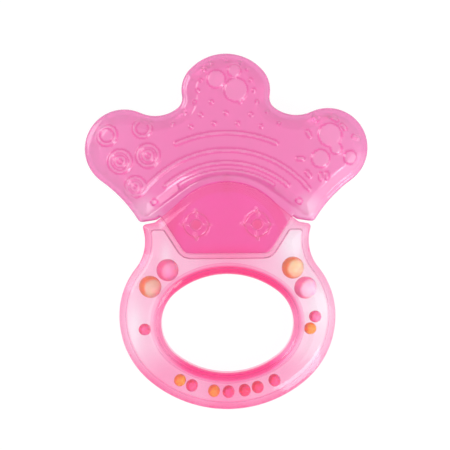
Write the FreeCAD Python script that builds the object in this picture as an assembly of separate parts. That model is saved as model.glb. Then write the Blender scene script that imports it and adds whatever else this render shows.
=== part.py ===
import FreeCAD, Part
import math
import os

from FreeCAD import Vector

# Water-filled teether on a rattle handle, lying flat on its back.
# +X is to the right, +Y points to the chewing lobes and +Z is up, through the thickness.
# Plan positions are given from the lowest point of the handle, on the line of symmetry.
# save() moves each piece so that the origin is under the middle of the bounding box.

# ---- Beads ----
LARGE_BEAD_RADIUS = 3.7
SMALL_BEAD_RADIUS = 2.0
BEAD_CLEARANCE = 0.2  # to the grip lip
OUTER_BEAD_CLEARANCE = 1.8  # to the grip lip, for beads that lie near the outer wall
BEAD_FLOOR_GAP = 0.15
BEAD_HEADROOM = 1.4  # height that a large bead leaves free

# ---- Handle: outline of the two hard shells ----
RING_HALF_WIDTH = 36.0
RING_HALF_HEIGHT = 31.2
RING_LOWER_ROUNDNESS = 0.913  # radius of the ring's sides, in parts of its half height
RING_UPPER_ROUNDNESS = 0.817
NECK_RADIUS = 14.1
SHOULDER_TIP_X = 26.8
SHOULDER_TIP_RISE = 29.4  # above the ring's widest place
SHOULDER_TIP_RADIUS = 1.1
CROTCH_RISE = 2.6  # hollow between shoulder and crown, above the shoulder tips
CROTCH_RADIUS = 1.0

# ---- Handle: grip opening ----
SIDE_BAND = 14.0  # width of the ring beside the opening
LOWER_BAND = 12.1  # width of the ring below it
GRIP_DROP = 2.7  # opening's centre, below the ring's widest place
GRIP_ROUNDNESS = 0.823  # radius of the opening's sides, in parts of its half height

# ---- Handle: walls, joint and edges ----
FACE_WALL = 1.8
RIM_WALL = 2.1
GRIP_WALL = 2.0
LIP_WALL = 1.7  # back shell's lip behind the grip wall
LIP_RISE = 3.4  # above the joint between the shells
LIP_CLEARANCE = 0.1
WELD_GAP = 0.04  # joint line of a welded pair
SHOULDER_WALL = 2.0
CHAMBER_CORNER_RADIUS = 0.8
CROWN_FILLET = 0.9
RING_FILLET = 2.6
FILLET_CHANGE = 4.2  # below the neck's narrowest place
GRIP_FILLET = 3.6
CHAMBER_FILLET = 0.7

# ---- Handle: pocket that holds the pad's tongue ----
POCKET_CLEARANCE = 0.25
POCKET_WALL = 1.2
BOSS_X = 10.2
BOSS_RISE = 0.8
BOSS_RADIUS = 3.9
BOSS_FACE_GAP = 0.1  # bosses and gussets, to the tongue's faces
STUD_RADIUS = 1.7
STUD_CLEARANCE = 0.1
STUD_END_GAP = 0.2
GUSSET_REACH_X = 4.5  # from the boss's axis
GUSSET_REACH_Y = 5.2
GUSSET_THICK = 0.9

# ---- Chewing pad: outline, with heights above the shoulder tips ----
UNDERSIDE_RISE = 15.45
UNDERSIDE_RADIUS = 21.6
UNDERSIDE_SLOPE = 40.0  # degrees, straight run down to the heel
PAD_GAP = 0.3  # between the pad's underside and the handle's crown
HEEL_RISE = 4.07
HEEL_RADIUS = 1.6
FOOT_REACH = 4.4  # foot's centre, outward from the heel's
FOOT_RISE = 3.3
FOOT_RADIUS = 1.5
FLANK_RADIUS = 45.0
SIDE_LOBE_X = 34.0
SIDE_LOBE_RISE = 26.3
SIDE_LOBE_RADIUS = 13.25
VALLEY_RADIUS = 12.0
VALLEY_CORNER_REACH = 3.95  # valley corner's centre, outward from the top lobe's side
VALLEY_CORNER_RADIUS = 4.2
TOP_LOBE_RISE = 31.65  # top of the pad, above the centres of the side lobes
TOP_LOBE_HALF_WIDTH = 14.85
TOP_LOBE_FLATNESS = 1.65  # radius of the top's crown, less the lobe's half width
TOP_LOBE_SIDE_RADIUS = 10.0

# ---- Chewing pad: thickness and walls ----
RELIEF_HEIGHT = 0.6
RELIEF_ROOT = 0.4  # depth of the relief's foot inside the skin
PAD_RIM_THICK = 6.0
PAD_RIM_WIDTH = 1.3
PAD_RIM_FILLET = 1.2
PILLOW_CORNER_RADIUS = 2.6
PILLOW_FILLET = 2.2
SKIN_WALL = 1.5
WATER_CORNER_RADIUS = 1.8
WATER_FILLET = 1.4
WATER_CLEARANCE = 0.03

# ---- Chewing pad: tongue, with heights from the shoulder tips ----
TONGUE_CORNER_X = 12.2
TONGUE_CORNER_DROP = 5.5
TONGUE_CORNER_RADIUS = 3.4
TONGUE_TOP_X = 21.0
TONGUE_TOP_RISE = 4.2
TONGUE_TOP_RADIUS = 1.2
TONGUE_OVERLAP = 1.0  # reach of the tongue into the pad
STEP_WIDTH = 4.9  # thick band of the tongue, under the crown
STEP_CLEARANCE = 0.1

# ---- Fill hole and its plug ----
PLUG_RADIUS = 1.0
PLUG_CLEARANCE = 0.03
PLUG_HEAD_RADIUS = 1.5
PLUG_HEAD_LENGTH = 0.9

# ---- Relief on the pad's faces ----
ARC_DROP = 3.45  # common centre of the raised arcs, below the underside's centre
ARC_WIDTH = 1.3
# radius in parts of the underside's radius, and half span in degrees
ARCS = [(1.889, 24.0), (1.625, 51.0), (1.431, 41.0), (1.301, 33.0)]
NUB_RADIUS = 0.85
NUB_TOP_RADIUS = 0.5
# right half of the nubs: x and height from the top crown's centre, in parts of its radius
NUBS = [
    (0.0, 0.870),
    (0.297, 0.803),
    (0.436, 0.658),
    (0.503, 0.442),
    (0.567, 0.233),
    (0.630, 0.0),
    (0.285, 0.003),
    (0.0, -0.221),
    (0.503, -0.252),
    (0.830, -0.194),
    (0.236, -0.427),
    (0.703, -0.494),
    (1.067, -0.427),
]
RING_BAND = 1.2
# The relief of each side lobe is placed from the lobe's centre, in parts of its radius.
# Left lobe: centre of each ring, its outer radius and the outer radius of its inner ring.
RINGS = [
    (-0.42, 0.33, 0.270, 0.0),
    (0.47, 0.50, 0.250, 0.0),
    (0.61, -0.19, 0.305, 0.16),
    (-0.09, -0.33, 0.305, 0.16),
    (0.29, -0.96, 0.270, 0.135),
]
# Right lobe: centre and radius of each low round bump. The first is the largest.
LOBE_BUMPS = [
    (0.03, 0.30, 0.29),
    (0.18, -0.04, 0.14),
    (0.54, -0.27, 0.165),
    (-0.21, -0.29, 0.225),
]
# Right lobe: centre and direction in degrees of each short bar
BARS = [
    (0.16, 0.70, -25.0),
    (-0.34, 0.72, -50.0),
    (0.37, 0.50, -50.0),
    (0.68, 0.25, -10.0),
    (-0.50, 0.33, -65.0),
    (-0.71, -0.29, 0.0),
    (-0.52, -0.67, -55.0),
    (-0.21, -0.74, 90.0),
    (-0.05, -0.72, 90.0),
]
BAR_WIDTH = 1.3
BAR_LENGTH = 2.8
# Top lobe: bumps placed like the nubs
TOP_BUMPS = [(-0.19, 0.46, 0.18), (0.17, 0.63, 0.13), (0.20, 0.24, 0.235)]
HEEL_BUMP_RADIUS = 1.0
HEEL_BUMP_RISE = 4.3  # above the heel's centre

# ---- Places of the loose beads ----
# Lower channel: distance along it from the line of symmetry, in small bead diameters
LOWER_BEADS = {
    "small_bead_orange_1": -4.19,
    "small_bead_pink_1": -3.09,
    "small_bead_orange_2": -1.18,
    "small_bead_pink_2": 0.05,
    "small_bead_red_1": 1.42,
    "small_bead_red_2": 2.54,
    "small_bead_pink_3": 4.07,
}
# Beside the grip: side, distance along the channel in diameters of the bead, radius, gap to lip
SIDE_BEADS = {
    "small_bead_pink_4": (-1, -0.55, SMALL_BEAD_RADIUS, BEAD_CLEARANCE),
    "small_bead_orange_3": (1, -0.55, SMALL_BEAD_RADIUS, BEAD_CLEARANCE),
    "small_bead_pink_5": (1, 0.45, SMALL_BEAD_RADIUS, OUTER_BEAD_CLEARANCE),
    "large_bead_pink_1": (-1, 2.86, LARGE_BEAD_RADIUS, BEAD_CLEARANCE),
    "large_bead_cream_1": (-1, 1.76, LARGE_BEAD_RADIUS, BEAD_CLEARANCE),
    "large_bead_cream_2": (1, 2.88, LARGE_BEAD_RADIUS, OUTER_BEAD_CLEARANCE),
    "large_bead_pink_2": (1, 1.66, LARGE_BEAD_RADIUS, BEAD_CLEARANCE),
}

# ---- Values that follow ----
HANDLE_THICK = 2 * LARGE_BEAD_RADIUS + BEAD_HEADROOM + 2 * FACE_WALL
MID_Z = HANDLE_THICK / 2
INNER_LOW = FACE_WALL
INNER_HIGH = HANDLE_THICK - FACE_WALL
LIP_OUTSIDE = GRIP_WALL + LIP_WALL + LIP_CLEARANCE
SLOPE = math.radians(UNDERSIDE_SLOPE)
SHOULDER_TIP_Y = RING_HALF_HEIGHT + SHOULDER_TIP_RISE
UNDERSIDE_CENTRE_Y = SHOULDER_TIP_Y + UNDERSIDE_RISE - UNDERSIDE_RADIUS
SIDE_LOBE_Y = SHOULDER_TIP_Y + SIDE_LOBE_RISE
TOP_Y = SIDE_LOBE_Y + TOP_LOBE_RISE
TOP_CROWN_RADIUS = TOP_LOBE_HALF_WIDTH + TOP_LOBE_FLATNESS
TOP_CROWN_Y = TOP_Y - TOP_CROWN_RADIUS
PILLOW_THICK = HANDLE_THICK - 2 * RELIEF_HEIGHT
PILLOW_TOP = MID_Z + PILLOW_THICK / 2
TONGUE_LOW = MID_Z - PAD_RIM_THICK / 2
TONGUE_HIGH = MID_Z + PAD_RIM_THICK / 2
CROWN_RADIUS = UNDERSIDE_RADIUS - PAD_GAP
STEP_RADIUS = UNDERSIDE_RADIUS - STEP_WIDTH
WATER_INSET = PAD_RIM_WIDTH + SKIN_WALL
GRIP_Y = RING_HALF_HEIGHT - GRIP_DROP
GRIP_HALF_WIDTH = RING_HALF_WIDTH - SIDE_BAND
GRIP_HALF_HEIGHT = GRIP_Y - LOWER_BAND
MIDDLE_Y = TOP_Y / 2
FLAT = 1e-6  # height below which an edge counts as level


# ---- Outlines: a belt round pegs ----
# A peg is (x, y, radius). The belt runs counter-clockwise, with pegs of positive radius
# inside it and pegs of negative radius outside it.


def oval_end_radius(half_width, half_height, side_radius):
    """Radius of the long arcs of an oval, from its size and the radius of its ends."""
    reach = half_width - side_radius
    return (reach**2 + half_height**2 - side_radius**2) / (2 * (half_height - side_radius))


def touching(peg_a, peg_b, radius, side):
    """Peg that touches two pegs, left (side 1) or right (side -1) of the line between them."""
    dx = peg_b[0] - peg_a[0]
    dy = peg_b[1] - peg_a[1]
    span = math.hypot(dx, dy)
    to_a = radius - peg_a[2]
    to_b = radius - peg_b[2]
    along = (to_a**2 - to_b**2 + span**2) / (2 * span)
    across = side * math.sqrt(to_a**2 - along**2)
    x = peg_a[0] + (along * dx - across * dy) / span
    y = peg_a[1] + (along * dy + across * dx) / span
    return (x, y, radius)


def mirrored(half):
    """Right half of a belt's pegs, and their mirror images in the opposite order."""
    return half + [(-x, y, radius) for x, y, radius in reversed(half) if x > 0]


def belt(pegs, inset=0.0):
    pegs = [(x, y, radius - inset) for x, y, radius in pegs]
    count = len(pegs)
    runs = []
    for i in range(count):
        x0, y0, r0 = pegs[i]
        x1, y1, r1 = pegs[(i + 1) % count]
        dx = x1 - x0
        dy = y1 - y0
        span = math.hypot(dx, dy)
        lean = max(-1.0, min(1.0, (r0 - r1) / span))
        square = math.sqrt(1.0 - lean**2)
        nx = (lean * dx + square * dy) / span
        ny = (lean * dy - square * dx) / span
        leave = Vector(x0 + r0 * nx, y0 + r0 * ny, 0)
        arrive = Vector(x1 + r1 * nx, y1 + r1 * ny, 0)
        if leave.distanceToPoint(arrive) < 0.01:
            arrive = leave
        runs.append((math.atan2(ny, nx), leave, arrive))
    edges = []
    for i in range(count):
        x, y, radius = pegs[i]
        angle_in, _, start = runs[i - 1]
        angle_out, end, arrive = runs[i]
        turn = (angle_out - angle_in) % (2 * math.pi)
        if radius < 0:
            turn -= 2 * math.pi
        angle = angle_in + turn / 2
        middle = Vector(x + radius * math.cos(angle), y + radius * math.sin(angle), 0)
        edges.append(Part.Arc(start, middle, end).toShape())
        if arrive is not end:
            edges.append(Part.makeLine(end, arrive))
    return Part.Wire(edges)


def prism(pegs, low, high, inset=0.0):
    face = Part.Face(belt(pegs, inset))
    return face.extrude(Vector(0, 0, high - low)).translated(Vector(0, 0, low))


def disc(x, y, radius, low, high):
    return Part.makeCylinder(radius, high - low, Vector(x, y, low))


def is_level(edge):
    return edge.BoundBox.ZLength < FLAT


def rounded(solid, radius):
    """Solid with its upper and lower edges rounded."""
    return solid.makeFillet(radius, [edge for edge in solid.Edges if is_level(edge)])


def rounded_by_height(solid, radius_at):
    """Solid with its upper and lower edges rounded by a radius that depends on y."""
    document = FreeCAD.newDocument()
    base = document.addObject("Part::Feature", "Base")
    base.Shape = solid
    fillet = document.addObject("Part::Fillet", "Fillet")
    fillet.Base = base
    choices = []
    for number, edge in enumerate(solid.Edges, start=1):
        if is_level(edge):
            start = edge.valueAt(edge.FirstParameter)
            end = edge.valueAt(edge.LastParameter)
            choices.append((number, radius_at(start.y), radius_at(end.y)))
    fillet.Edges = choices
    document.recompute()
    return fillet.Shape.copy()


# ---- Outlines of the handle ----
ring_lower_radius = RING_HALF_HEIGHT * RING_LOWER_ROUNDNESS
ring_upper_radius = RING_HALF_HEIGHT * RING_UPPER_ROUNDNESS
ring_end_radius = oval_end_radius(RING_HALF_WIDTH, RING_HALF_HEIGHT, ring_lower_radius)
ring_foot = (0, ring_end_radius, ring_end_radius)
ring_lower = (RING_HALF_WIDTH - ring_lower_radius, RING_HALF_HEIGHT, ring_lower_radius)
ring_upper = (RING_HALF_WIDTH - ring_upper_radius, RING_HALF_HEIGHT, ring_upper_radius)
shoulder_tip = (SHOULDER_TIP_X, SHOULDER_TIP_Y, SHOULDER_TIP_RADIUS)
neck = touching(ring_upper, shoulder_tip, -NECK_RADIUS, -1)
crotch_y = SHOULDER_TIP_Y + CROTCH_RISE
crotch_drop = (crotch_y - UNDERSIDE_CENTRE_Y) * math.cos(SLOPE)
crotch_x = (CROWN_RADIUS + CROTCH_RADIUS - crotch_drop) / math.sin(SLOPE)
crotch = (crotch_x, crotch_y, -CROTCH_RADIUS)
crown = (0, UNDERSIDE_CENTRE_Y, CROWN_RADIUS)
handle_pegs = mirrored([ring_foot, ring_lower, ring_upper, neck, shoulder_tip, crotch, crown])

grip_side_radius = GRIP_HALF_HEIGHT * GRIP_ROUNDNESS
grip_end_radius = oval_end_radius(GRIP_HALF_WIDTH, GRIP_HALF_HEIGHT, grip_side_radius)
grip_foot = (0, LOWER_BAND + grip_end_radius, grip_end_radius)
grip_side = (GRIP_HALF_WIDTH - grip_side_radius, GRIP_Y, grip_side_radius)
grip_head = (0, GRIP_Y + GRIP_HALF_HEIGHT - grip_end_radius, grip_end_radius)
grip_pegs = mirrored([grip_foot, grip_side, grip_head])

# The bead chamber is the handle's outline, moved in by the rim wall, up to the shoulders.
chamber_top = SHOULDER_TIP_Y + SHOULDER_TIP_RADIUS - SHOULDER_WALL
chamber_corner_y = chamber_top - CHAMBER_CORNER_RADIUS
chamber_corner_reach = NECK_RADIUS + RIM_WALL + CHAMBER_CORNER_RADIUS
chamber_corner_x = neck[0] - math.sqrt(chamber_corner_reach**2 - (chamber_corner_y - neck[1]) ** 2)
chamber_corner = (chamber_corner_x, chamber_corner_y, CHAMBER_CORNER_RADIUS + RIM_WALL)
chamber_pegs = mirrored([ring_foot, ring_lower, ring_upper, neck, chamber_corner])

# ---- Outlines of the pad ----
underside = (0, UNDERSIDE_CENTRE_Y, -UNDERSIDE_RADIUS)
heel_y = SHOULDER_TIP_Y + HEEL_RISE
heel_drop = (heel_y - UNDERSIDE_CENTRE_Y) * math.cos(SLOPE)
heel_x = (UNDERSIDE_RADIUS + HEEL_RADIUS - heel_drop) / math.sin(SLOPE)
heel = (heel_x, heel_y, HEEL_RADIUS)
foot = (heel_x + FOOT_REACH, SHOULDER_TIP_Y + FOOT_RISE, FOOT_RADIUS)
side_lobe = (SIDE_LOBE_X, SIDE_LOBE_Y, SIDE_LOBE_RADIUS)
flank = touching(foot, side_lobe, -FLANK_RADIUS, -1)
top_crown = (0, TOP_CROWN_Y, TOP_CROWN_RADIUS)
top_side_x = TOP_LOBE_HALF_WIDTH - TOP_LOBE_SIDE_RADIUS
top_side_reach = TOP_CROWN_RADIUS - TOP_LOBE_SIDE_RADIUS
top_side_rise = math.sqrt(top_side_reach**2 - top_side_x**2)
top_side = (top_side_x, TOP_CROWN_Y + top_side_rise, TOP_LOBE_SIDE_RADIUS)
valley_corner_x = TOP_LOBE_HALF_WIDTH + VALLEY_CORNER_REACH
valley_reach = TOP_LOBE_SIDE_RADIUS + VALLEY_CORNER_RADIUS
valley_corner_drop = math.sqrt(valley_reach**2 - (valley_corner_x - top_side_x) ** 2)
valley_corner = (valley_corner_x, top_side[1] - valley_corner_drop, -VALLEY_CORNER_RADIUS)
valley = touching(side_lobe, valley_corner, -VALLEY_RADIUS, -1)
upper_pegs = [flank, side_lobe, valley, valley_corner, top_side, top_crown]
pad_pegs = mirrored([underside, heel, foot] + upper_pegs)


def inner_pad_pegs(inset, corner_radius):
    """Pad's pegs for an outline moved in by inset, with one rounder corner at heel and foot."""
    y = foot[1] - FOOT_RADIUS + inset + corner_radius
    reach = FLANK_RADIUS + inset + corner_radius
    x = flank[0] - math.sqrt(reach**2 - (y - flank[1]) ** 2)
    corner = (x, y, corner_radius + inset)
    return mirrored([underside, corner] + upper_pegs)


tongue_corner = (TONGUE_CORNER_X, SHOULDER_TIP_Y - TONGUE_CORNER_DROP, TONGUE_CORNER_RADIUS)
tongue_top = (TONGUE_TOP_X, SHOULDER_TIP_Y + TONGUE_TOP_RISE, TONGUE_TOP_RADIUS)
tongue_crown = (0, UNDERSIDE_CENTRE_Y, UNDERSIDE_RADIUS + TONGUE_OVERLAP)
tongue_pegs = mirrored([tongue_corner, tongue_top, tongue_crown])

BOSS_Y = SHOULDER_TIP_Y + BOSS_RISE
boss_places = [(-BOSS_X, BOSS_Y), (BOSS_X, BOSS_Y)]


# ---- Handle ----
def blank_edge_radius(y):
    """Full rounding round the ring, and less on the neck, the shoulders and the crown."""
    if y < neck[1] - FILLET_CHANGE:
        return RING_FILLET
    return CROWN_FILLET


def is_grip_edge(edge):
    box = edge.BoundBox
    across = GRIP_HALF_WIDTH + GRIP_WALL
    top = GRIP_Y + GRIP_HALF_HEIGHT + GRIP_WALL
    inside = box.XMax < across and box.XMin > -across and box.YMax < top
    return is_level(edge) and inside and box.YMin > LOWER_BAND - GRIP_WALL


def handle_blank():
    """Both shells as one block, with the grip opening and all outer edges rounded."""
    blank = rounded_by_height(prism(handle_pegs, 0, HANDLE_THICK), blank_edge_radius)
    blank = blank.cut(prism(grip_pegs, 0, HANDLE_THICK))
    return blank.makeFillet(GRIP_FILLET, [edge for edge in blank.Edges if is_grip_edge(edge)])


def bead_chamber():
    """Space for the beads round the grip wall, without the pocket for the tongue."""
    chamber = rounded(prism(chamber_pegs, INNER_LOW, INNER_HIGH, RIM_WALL), CHAMBER_FILLET)
    chamber = chamber.cut(prism(grip_pegs, 0, HANDLE_THICK, -GRIP_WALL))
    return chamber.cut(prism(tongue_pegs, 0, HANDLE_THICK, -POCKET_CLEARANCE - POCKET_WALL))


def hollow_handle():
    pocket = prism(tongue_pegs, INNER_LOW, INNER_HIGH, -POCKET_CLEARANCE)
    return handle_blank().cut(bead_chamber()).cut(pocket)


def bosses(low, high):
    """Sockets for the tongue's studs, each with a cross of four ribs."""
    pieces = []
    for x, y in boss_places:
        socket = disc(x, y, BOSS_RADIUS, low, high).fuse(gussets(x, y, low, high))
        pieces.append(socket.cut(disc(x, y, STUD_RADIUS + STUD_CLEARANCE, low, high)))
    return pieces


def gussets(x, y, low, high):
    height = high - low
    half = GUSSET_THICK / 2
    corner_x = Vector(x - GUSSET_REACH_X, y - half, low)
    corner_y = Vector(x - half, y - GUSSET_REACH_Y, low)
    along_x = Part.makeBox(2 * GUSSET_REACH_X, GUSSET_THICK, height, corner_x)
    along_y = Part.makeBox(GUSSET_THICK, 2 * GUSSET_REACH_Y, height, corner_y)
    return along_x.fuse(along_y)


def half_space(low, high):
    """Box from low to high that reaches past every side of the object."""
    corner = Vector(-TOP_Y, -TOP_Y, low)
    return Part.makeBox(2 * TOP_Y, 3 * TOP_Y, high - low, corner)


def lower_half(solid):
    return solid.common(half_space(0, MID_Z - WELD_GAP / 2))


def upper_half(solid):
    return solid.common(half_space(MID_Z + WELD_GAP / 2, HANDLE_THICK))


def grip_band(low, high, inner, outer):
    """Wall that follows the grip opening, from inner to outer away from it."""
    band = prism(grip_pegs, low, high, -outer)
    return band.cut(prism(grip_pegs, low, high, -inner))


def handle_back_shell(hollow):
    joint = MID_Z - WELD_GAP / 2
    pieces = [
        grip_band(INNER_LOW, joint, GRIP_WALL, LIP_OUTSIDE),
        grip_band(INNER_LOW, MID_Z + LIP_RISE, GRIP_WALL + LIP_CLEARANCE, LIP_OUTSIDE),
    ]
    pieces += bosses(INNER_LOW, TONGUE_LOW - BOSS_FACE_GAP)
    return lower_half(hollow).multiFuse(pieces).removeSplitter()


def handle_front_shell(hollow):
    pieces = bosses(TONGUE_HIGH + BOSS_FACE_GAP, INNER_HIGH)
    return upper_half(hollow).multiFuse(pieces).removeSplitter()


# ---- Relief on the pad ----
# The relief is made for the front face, from just under it to RELIEF_HEIGHT above it.
RELIEF_LOW = PILLOW_TOP - RELIEF_ROOT
RELIEF_HIGH = PILLOW_TOP + RELIEF_HEIGHT


def plate(x, y, radius):
    return disc(x, y, radius, RELIEF_LOW, RELIEF_HIGH)


def ring(x, y, outer, band):
    return plate(x, y, outer).cut(plate(x, y, outer - band))


def nub(x, y):
    return Part.makeCone(NUB_RADIUS, NUB_TOP_RADIUS, RELIEF_HIGH - RELIEF_LOW, Vector(x, y, RELIEF_LOW))


def bar(x, y, degrees):
    reach = (BAR_LENGTH - BAR_WIDTH) / 2
    dx = reach * math.cos(math.radians(degrees))
    dy = reach * math.sin(math.radians(degrees))
    ends = [(x - dx, y - dy, BAR_WIDTH / 2), (x + dx, y + dy, BAR_WIDTH / 2)]
    return prism(ends, RELIEF_LOW, RELIEF_HIGH)


def arc_ridge(radius, half_span):
    """Raised arc with round ends, as a list of solids."""
    centre_y = UNDERSIDE_CENTRE_Y - ARC_DROP
    end_x = math.sin(math.radians(half_span))
    end_y = math.cos(math.radians(half_span))
    reach = 2 * radius
    corners = [
        Vector(0, centre_y, RELIEF_LOW),
        Vector(reach * end_x, centre_y + reach * end_y, RELIEF_LOW),
        Vector(0, centre_y + 2 * reach, RELIEF_LOW),
        Vector(-reach * end_x, centre_y + reach * end_y, RELIEF_LOW),
        Vector(0, centre_y, RELIEF_LOW),
    ]
    wedge = Part.Face(Part.makePolygon(corners)).extrude(Vector(0, 0, RELIEF_HIGH - RELIEF_LOW))
    pieces = [ring(0, centre_y, radius + ARC_WIDTH / 2, ARC_WIDTH).common(wedge)]
    for side in (-1, 1):
        pieces.append(plate(side * radius * end_x, centre_y + radius * end_y, ARC_WIDTH / 2))
    return pieces


def lobe_place(side, x, y):
    """Place on a side lobe, from its centre in parts of its radius."""
    return side * SIDE_LOBE_X + x * SIDE_LOBE_RADIUS, SIDE_LOBE_Y + y * SIDE_LOBE_RADIUS


def top_place(x, y):
    """Place on the top lobe, from its crown's centre in parts of the crown's radius."""
    return x * TOP_CROWN_RADIUS, TOP_CROWN_Y + y * TOP_CROWN_RADIUS


def face_relief():
    pieces = []
    for radius, half_span in ARCS:
        pieces += arc_ridge(radius * UNDERSIDE_RADIUS, half_span)
    for x, y in NUBS:
        for side in (-1, 1) if x > 0 else (1,):
            pieces.append(nub(*top_place(side * x, y)))
    for x, y, radius in TOP_BUMPS:
        pieces.append(plate(*top_place(x, y), radius * TOP_CROWN_RADIUS))
    for x, y, outer, inner in RINGS:
        place = lobe_place(-1, x, y)
        pieces.append(ring(*place, outer * SIDE_LOBE_RADIUS, RING_BAND))
        if inner > 0:
            pieces.append(ring(*place, inner * SIDE_LOBE_RADIUS, RING_BAND))
    for x, y, radius in LOBE_BUMPS:
        pieces.append(plate(*lobe_place(1, x, y), radius * SIDE_LOBE_RADIUS))
    for x, y, degrees in BARS:
        pieces.append(bar(*lobe_place(1, x, y), degrees))
    for side in (-1, 1):
        pieces.append(plate(side * heel_x, heel_y + HEEL_BUMP_RISE, HEEL_BUMP_RADIUS))
    return pieces


# ---- Chewing pad ----
def water_space(clearance=0.0):
    """Space for the water between the two skins."""
    pegs = inner_pad_pegs(WATER_INSET, WATER_CORNER_RADIUS)
    low = MID_Z - PILLOW_THICK / 2 + SKIN_WALL + clearance
    high = MID_Z + PILLOW_THICK / 2 - SKIN_WALL - clearance
    return rounded(prism(pegs, low, high, WATER_INSET + clearance), WATER_FILLET)


def along_fill_hole(radius, length):
    """Cylinder in the fill hole, from the tongue's thick band towards the water."""
    start = Vector(0, UNDERSIDE_CENTRE_Y + STEP_RADIUS, MID_Z)
    return Part.makeCylinder(radius, length, start, Vector(0, 1, 0))


def fill_hole(clearance=0.0):
    length = STEP_WIDTH + WATER_INSET
    bore = along_fill_hole(PLUG_RADIUS - clearance, length)
    return bore.fuse(along_fill_hole(PLUG_HEAD_RADIUS - clearance, PLUG_HEAD_LENGTH))


def tongue():
    """Plate with a thick band under the crown, and studs that sit in the shells' bosses."""
    body = prism(tongue_pegs, TONGUE_LOW, TONGUE_HIGH)
    step_low = INNER_LOW + STEP_CLEARANCE
    step_high = INNER_HIGH - STEP_CLEARANCE
    step = prism(tongue_pegs, step_low, step_high)
    step = step.common(disc(0, UNDERSIDE_CENTRE_Y, CROWN_RADIUS, step_low, step_high))
    step = step.cut(disc(0, UNDERSIDE_CENTRE_Y, STEP_RADIUS, step_low, step_high))
    pieces = [step]
    for x, y in boss_places:
        stud_low = INNER_LOW + STUD_END_GAP
        stud_high = INNER_HIGH - STUD_END_GAP
        pieces.append(disc(x, y, STUD_RADIUS, stud_low, stud_high))
    return body.multiFuse(pieces)


def whole_pad():
    """Both skins as one solid, without the water space."""
    rim = prism(pad_pegs, TONGUE_LOW, TONGUE_HIGH)
    rim = rounded(rim, PAD_RIM_FILLET)
    pillow_pegs = inner_pad_pegs(PAD_RIM_WIDTH, PILLOW_CORNER_RADIUS)
    pillow = prism(pillow_pegs, MID_Z - PILLOW_THICK / 2, PILLOW_TOP, PAD_RIM_WIDTH)
    pillow = rounded(pillow, PILLOW_FILLET)
    front = face_relief()
    back = [piece.mirror(Vector(0, 0, MID_Z), Vector(0, 0, 1)) for piece in front]
    pad = rim.multiFuse([pillow, tongue()] + front + back)
    return pad.cut(water_space()).cut(fill_hole())


# ---- Loose beads ----
def bead(x, y, radius):
    return Part.makeSphere(radius, Vector(x, y, INNER_LOW + BEAD_FLOOR_GAP + radius))


# The lower channel curves about the mean of the centres of its two walls.
lower_channel_y = (ring_end_radius + grip_foot[1]) / 2
lower_channel_radius = lower_channel_y - (RIM_WALL + LOWER_BAND - LIP_OUTSIDE) / 2


def lower_beads():
    for name, places in LOWER_BEADS.items():
        angle = places * 2 * SMALL_BEAD_RADIUS / lower_channel_radius
        x = lower_channel_radius * math.sin(angle)
        y = lower_channel_y - lower_channel_radius * math.cos(angle)
        yield name, bead(x, y, SMALL_BEAD_RADIUS)


def side_beads():
    """Beads beside the grip opening, round the centre of its side arcs."""
    for name, (side, places, radius, gap) in SIDE_BEADS.items():
        reach = grip_side_radius + LIP_OUTSIDE + gap + radius
        angle = places * 2 * radius / reach
        x = side * (grip_side[0] + reach * math.cos(angle))
        y = GRIP_Y + reach * math.sin(angle)
        yield name, bead(x, y, radius)


def save(name, shape):
    moved = shape.translated(Vector(0, -MIDDLE_Y, 0))
    moved.exportStep("parts/" + name + ".step")
    print(name, len(moved.Solids), round(moved.Volume, 1), moved.isValid())


def main():
    os.makedirs("parts", exist_ok=True)
    hollow = hollow_handle()
    pad = whole_pad()
    save("handle_back_shell", handle_back_shell(hollow))
    save("handle_front_shell", handle_front_shell(hollow))
    save("teether_back_skin", lower_half(pad))
    save("teether_front_skin", upper_half(pad))
    save("water_fill", water_space(WATER_CLEARANCE))
    save("fill_plug", fill_hole(PLUG_CLEARANCE).removeSplitter())
    for name, shape in lower_beads():
        save(name, shape)
    for name, shape in side_beads():
        save(name, shape)


main()
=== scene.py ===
import math

import bmesh
import bpy
import numpy as np
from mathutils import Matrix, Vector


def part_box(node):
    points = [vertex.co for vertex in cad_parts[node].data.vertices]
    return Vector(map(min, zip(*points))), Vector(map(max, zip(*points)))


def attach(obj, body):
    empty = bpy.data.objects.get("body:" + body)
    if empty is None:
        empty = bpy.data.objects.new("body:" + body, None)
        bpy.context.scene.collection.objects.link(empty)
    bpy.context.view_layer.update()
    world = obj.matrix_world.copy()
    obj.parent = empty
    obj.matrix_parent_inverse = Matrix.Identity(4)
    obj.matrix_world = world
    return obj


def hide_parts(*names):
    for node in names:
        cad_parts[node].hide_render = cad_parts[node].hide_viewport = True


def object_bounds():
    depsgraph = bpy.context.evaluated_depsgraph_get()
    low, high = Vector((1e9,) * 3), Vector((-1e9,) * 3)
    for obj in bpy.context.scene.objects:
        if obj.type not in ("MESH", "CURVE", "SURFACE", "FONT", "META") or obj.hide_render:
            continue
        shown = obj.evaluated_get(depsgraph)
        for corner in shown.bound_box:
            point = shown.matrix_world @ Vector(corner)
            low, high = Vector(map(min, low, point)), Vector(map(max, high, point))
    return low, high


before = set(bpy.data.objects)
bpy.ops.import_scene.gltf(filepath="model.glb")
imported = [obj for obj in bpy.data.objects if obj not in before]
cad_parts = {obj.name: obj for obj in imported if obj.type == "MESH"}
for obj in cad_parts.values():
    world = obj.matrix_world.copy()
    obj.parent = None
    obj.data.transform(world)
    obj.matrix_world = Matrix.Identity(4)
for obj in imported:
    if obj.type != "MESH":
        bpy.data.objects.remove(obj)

import openvdb
from mathutils import Vector
from mathutils.bvhtree import BVHTree
from mathutils.kdtree import KDTree

# Looks of a water-filled teether on a clear rattle handle. The row frame is in metres.
# The skins, the shells and the water have the CAD solids' shapes with softened edges
# and faces. The beads and the plug are the CAD solids with their own materials.

CAD_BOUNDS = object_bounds()
MM = 0.001

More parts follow.
